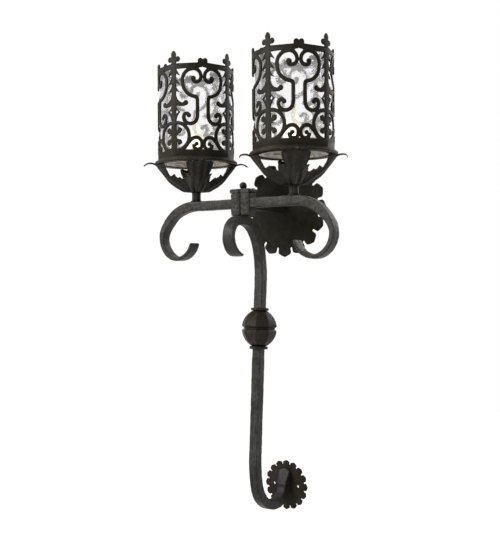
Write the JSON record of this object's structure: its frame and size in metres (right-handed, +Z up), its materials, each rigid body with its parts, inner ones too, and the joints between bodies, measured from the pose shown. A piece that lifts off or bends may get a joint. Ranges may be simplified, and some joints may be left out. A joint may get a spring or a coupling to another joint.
{
  "type": "wall sconce, two-light, forged iron",
  "caption": "Forged iron wall sconce: twin lanterns with pierced scroll cages and glass cylinders on a scrolled cross arm, over a long stem with a faceted ball.",
  "frame": {"origin": "centre of the round wall plate, on the wall plane, midway between the two box screws", "axes": "+X to the right along the cross arm, +Y into the wall, +Z up; the sconce stands out from the wall towards -Y"},
  "size_m": [0.3726, 0.21, 0.8366],
  "materials": {
    "iron": "hammered dark brown powder coat, satin",
    "seedy_glass": "translucent white, seedy and streaked",
    "bulb_glass": "clear, lit warm",
    "filament": "glowing wire",
    "brass": "plain turned",
    "steel": "zinc plated",
    "porcelain": "glazed off-white",
    "earth_green": "dyed screw",
    "lead": "smooth sleeve"
  },
  "bodies": {
    "frame": {"wall_plate": "iron", "mounting_bar": "steel", "ground_screw": "earth_green", "rail_nipple": "brass", "canopy_nut": "brass", "support_rail": "iron", "collar": "iron", "collar_cap": "iron", "finial_ball": "iron", "collar_rod": "steel", "cross_arm": "iron", "stem": "iron", "ball_upper": "iron", "ball_lower": "iron", "ball_band": "iron", "upper_washer": "iron", "lower_washer": "iron", "rosette": "iron", "foot_screw": "steel", "left_neck_washer": "iron", "left_neck_tube": "iron", "left_nipple": "brass", "left_leaf_cup": "iron", "left_lock_nut": "brass", "left_socket": "porcelain", "left_socket_contact": "brass", "left_ring": "iron", "left_cage": "iron", "left_wire": "lead", "right_neck_washer": "iron", "right_neck_tube": "iron", "right_nipple": "brass", "right_leaf_cup": "iron", "right_lock_nut": "brass", "right_socket": "porcelain", "right_socket_contact": "brass", "right_ring": "iron", "right_cage": "iron", "right_wire": "lead"},
    "left_glass_body": {"left_glass": "seedy_glass"},
    "right_glass_body": {"right_glass": "seedy_glass"},
    "left_bulb_body": {"left_bulb_base": "brass", "left_bulb": "bulb_glass", "left_filament": "filament"},
    "right_bulb_body": {"right_bulb_base": "brass", "right_bulb": "bulb_glass", "right_filament": "filament"}
  },
  "joints": [
    {"name": "left_glass_lift", "type": "slide", "parent": "frame", "child": "left_glass_body", "axis": [0, 0, 1], "range_m": [0, 0.17]},
    {"name": "right_glass_lift", "type": "slide", "parent": "frame", "child": "right_glass_body", "axis": [0, 0, 1], "range_m": [0, 0.17]},
    {"name": "left_bulb_out", "type": "slide", "parent": "frame", "child": "left_bulb_body", "axis": [0, 0, 1], "range_m": [0, 0.03]},
    {"name": "right_bulb_out", "type": "slide", "parent": "frame", "child": "right_bulb_body", "axis": [0, 0, 1], "range_m": [0, 0.03]}
  ]
}
